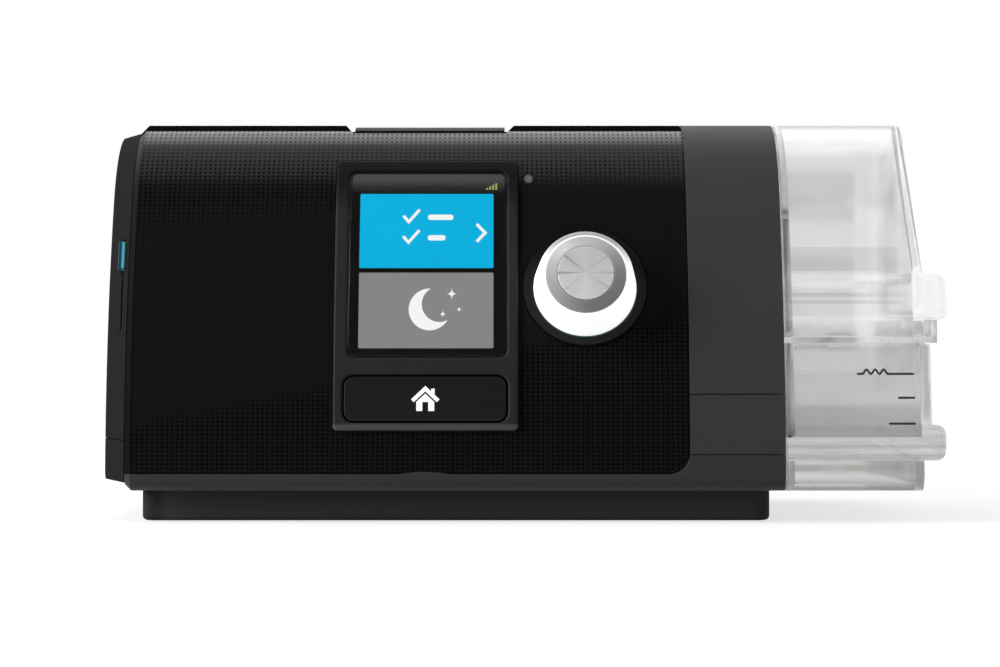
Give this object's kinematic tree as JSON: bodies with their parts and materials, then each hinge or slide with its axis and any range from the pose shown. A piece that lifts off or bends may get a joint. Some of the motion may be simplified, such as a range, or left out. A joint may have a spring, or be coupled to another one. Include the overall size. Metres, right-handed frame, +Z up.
{
  "type": "positive airway pressure machine",
  "caption": "Bedside positive airway pressure machine with colour screen, lit dial, start and home buttons, and a clear humidifier tub that slides out of its right end.",
  "frame": {"origin": "on the table, under the middle of the whole machine", "axes": "+X to the user's right, +Y to the rear, +Z up"},
  "size_m": [0.2196, 0.1544, 0.1048],
  "materials": {
    "gloss_black": "gloss, fine dotted",
    "black_cover": "satin",
    "band_grey": "satin",
    "tray_grey": "matt",
    "bezel_grey": "satin",
    "rubber": "matt",
    "seal_clear": "translucent",
    "steel": "satin",
    "lens": "polished",
    "display": "lit",
    "light_white": "lit, translucent",
    "spun_metal": "spun",
    "board_green": "satin",
    "component_black": "matt",
    "card_blue": "satin",
    "clear_plastic": "clear",
    "latch_grey": "clear",
    "liner_grey": "satin",
    "heater_metal": "satin",
    "foil": "satin",
    "foam": "matt",
    "motor_metal": "satin",
    "winding": "satin"
  },
  "bodies": {
    "housing": {"front_panel": "gloss_black", "top_cover": "black_cover", "rear_cover": "black_cover", "band_cover": "band_grey", "band_plate": "band_grey", "side_cover": "band_grey", "side_lower_trim": "band_grey", "lower_housing": "band_grey", "base_tray": "tray_grey", "screen_bezel": "bezel_grey", "dial_dish": "bezel_grey", "rubber_feet": "rubber", "port_seals": "rubber", "blower_mounts": "rubber", "tray_screws": "steel", "board_screws": "steel", "motor_bearings": "steel", "power_pin": "steel", "screen_lens": "lens", "light_sensor_lens": "lens", "display_panel": "display", "main_board": "board_green", "start_board": "board_green", "card_board": "board_green", "dial_light_board": "board_green", "home_switch": "component_black", "start_switch": "component_black", "dial_encoder": "component_black", "card_reader": "component_black", "power_inlet": "component_black", "tub_bay": "liner_grey", "air_outlet": "liner_grey", "outlet_elbow": "liner_grey", "volute_lower": "liner_grey", "volute_upper": "liner_grey", "heater_plate": "heater_metal", "heater_foil": "foil", "heater_insulation": "foam", "air_filter": "foam", "intake_silencer": "foam", "motor_can": "motor_metal", "motor_stator": "winding"},
    "tub": {"tub_base": "clear_plastic", "tub_lid": "clear_plastic", "tub_seal": "seal_clear", "tub_plate": "steel", "tub_hinge_pin": "steel", "tub_latch": "latch_grey"},
    "start_button": {"start_button": "band_grey"},
    "home_button": {"home_button": "bezel_grey"},
    "dial_plunger": {"encoder_shaft": "steel"},
    "dial": {"dial_skirt": "light_white", "dial_rim": "spun_metal", "dial_cap": "spun_metal"},
    "card_flap": {"card_flap": "band_grey"},
    "memory_card": {"memory_card": "card_blue"},
    "filter_cover": {"filter_cover": "band_grey"},
    "rotor": {"impeller": "liner_grey", "motor_shaft": "steel", "motor_magnet": "winding"}
  },
  "joints": [
    {"name": "tub_slide", "type": "slide", "parent": "housing", "child": "tub", "axis": [1, 0, 0], "range_m": [0, 0.1]},
    {"name": "start_press", "type": "slide", "parent": "housing", "child": "start_button", "axis": [0, 0, -1], "range_m": [0, 0.0008], "stiffness_N_per_m": 1500},
    {"name": "home_press", "type": "slide", "parent": "housing", "child": "home_button", "axis": [0, 0.9426, -0.3338], "range_m": [0, 0.0008], "stiffness_N_per_m": 1500},
    {"name": "dial_press", "type": "slide", "parent": "housing", "child": "dial_plunger", "axis": [0, 0.9426, -0.3338], "range_m": [0, 0.0008], "stiffness_N_per_m": 2000},
    {"name": "dial_turn", "type": "hinge", "parent": "dial_plunger", "child": "dial", "pos_m": [0.0161, -0.06506, 0.0606], "axis": [0, 0.9426, -0.3338], "continuous": true},
    {"name": "card_flap_hinge", "type": "hinge", "parent": "housing", "child": "card_flap", "pos_m": [-0.10662, -0.0495, 0.05892], "axis": [0, -0.3543, -0.9351], "range_deg": [0, 90]},
    {"name": "card_push", "type": "slide", "parent": "housing", "child": "memory_card", "axis": [1, 0, 0], "range_m": [0, 0.0008], "stiffness_N_per_m": 800},
    {"name": "filter_cover_hinge", "type": "hinge", "parent": "housing", "child": "filter_cover", "pos_m": [-0.096, 0.062, 0.062], "axis": [0, 0, 1], "range_deg": [0, 100]},
    {"name": "rotor_spin", "type": "hinge", "parent": "housing", "child": "rotor", "pos_m": [-0.072, 0.02, 0.06], "axis": [0, 0, 1], "continuous": true}
  ]
}
